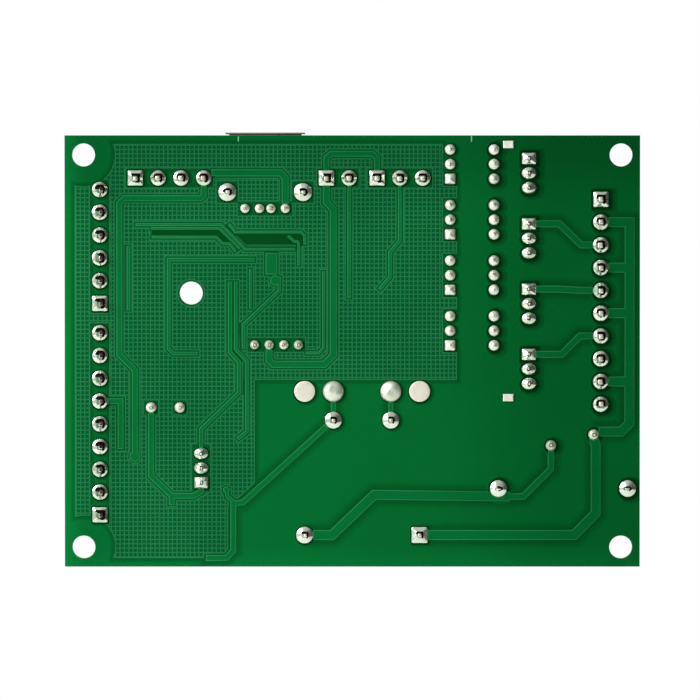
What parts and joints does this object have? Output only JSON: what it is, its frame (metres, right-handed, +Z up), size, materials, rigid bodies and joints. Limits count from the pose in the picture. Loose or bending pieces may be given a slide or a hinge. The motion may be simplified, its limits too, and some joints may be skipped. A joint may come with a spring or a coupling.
{
  "type": "stove control board",
  "caption": "Oblong green circuit board for a stove, with rows of soldered joints on one face and the headers, transformer, fuse and triacs on the other.",
  "frame": {"origin": "middle of the four corner holes, on the solder face of the board", "axes": "+X right and +Z up, looking at the solder face; the solder face looks along -Y and the parts stand towards +Y"},
  "size_m": [0.1, 0.0305, 0.0755],
  "materials": {
    "green_laminate": "glossy",
    "masked_copper": "glossy",
    "solder": "satin",
    "white_nylon": "matte",
    "tinned_brass": "satin",
    "black_plastic": "matte",
    "plated_tab": "satin",
    "transformer_plastic": "matte",
    "resin": "matte",
    "nickel_steel": "satin",
    "heat_sink_aluminium": "satin",
    "fuse_glass": "clear",
    "dark_base": "matte",
    "capacitor_sleeve": "glossy",
    "varistor_lacquer": "glossy"
  },
  "bodies": {
    "root": {"bridge_rectifier": "black_plastic", "capacitor_can": "capacitor_sleeve", "capacitor_leads": "tinned_brass", "chip_resistors": "black_plastic", "circuit_board": "green_laminate", "controller_case": "black_plastic", "crystal": "nickel_steel", "fuse_base": "dark_base", "fuse_caps": "nickel_steel", "fuse_clips": "tinned_brass", "fuse_glass": "fuse_glass", "ground_plane": "masked_copper", "heat_sink": "heat_sink_aluminium", "lower_left_header_housing": "white_nylon", "lower_left_header_posts": "tinned_brass", "mains_header_housing": "white_nylon", "mains_header_posts": "tinned_brass", "opto_1_case": "black_plastic", "opto_2_case": "black_plastic", "opto_3_case": "black_plastic", "opto_4_case": "black_plastic", "opto_leads": "tinned_brass", "program_header_pins": "tinned_brass", "program_header_strip": "black_plastic", "regulator_case": "black_plastic", "regulator_tab": "plated_tab", "solder_header_joints": "solder", "solder_opto_joints": "solder", "solder_power_joints": "solder", "solder_side_tracks": "masked_copper", "solder_small_joints": "solder", "solder_triac_joints": "solder", "solder_usb_joints": "solder", "three_way_header_housing": "white_nylon", "three_way_header_posts": "tinned_brass", "tinned_pads": "solder", "top_left_header_housing": "white_nylon", "top_left_header_posts": "tinned_brass", "transformer_case": "transformer_plastic", "transformer_pins": "tinned_brass", "transformer_resin": "resin", "triac_1_case": "black_plastic", "triac_1_tab": "plated_tab", "triac_2_case": "black_plastic", "triac_2_tab": "plated_tab", "triac_3_case": "black_plastic", "triac_3_tab": "plated_tab", "triac_4_case": "black_plastic", "triac_4_tab": "plated_tab", "triac_screws": "nickel_steel", "two_way_header_housing": "white_nylon", "two_way_header_posts": "tinned_brass", "upper_left_header_housing": "white_nylon", "upper_left_header_posts": "tinned_brass", "usb_contacts": "tinned_brass", "usb_insulator": "black_plastic", "usb_shell": "nickel_steel", "varistor_disc": "varistor_lacquer", "varistor_leads": "tinned_brass"}
  },
  "joints": []
}
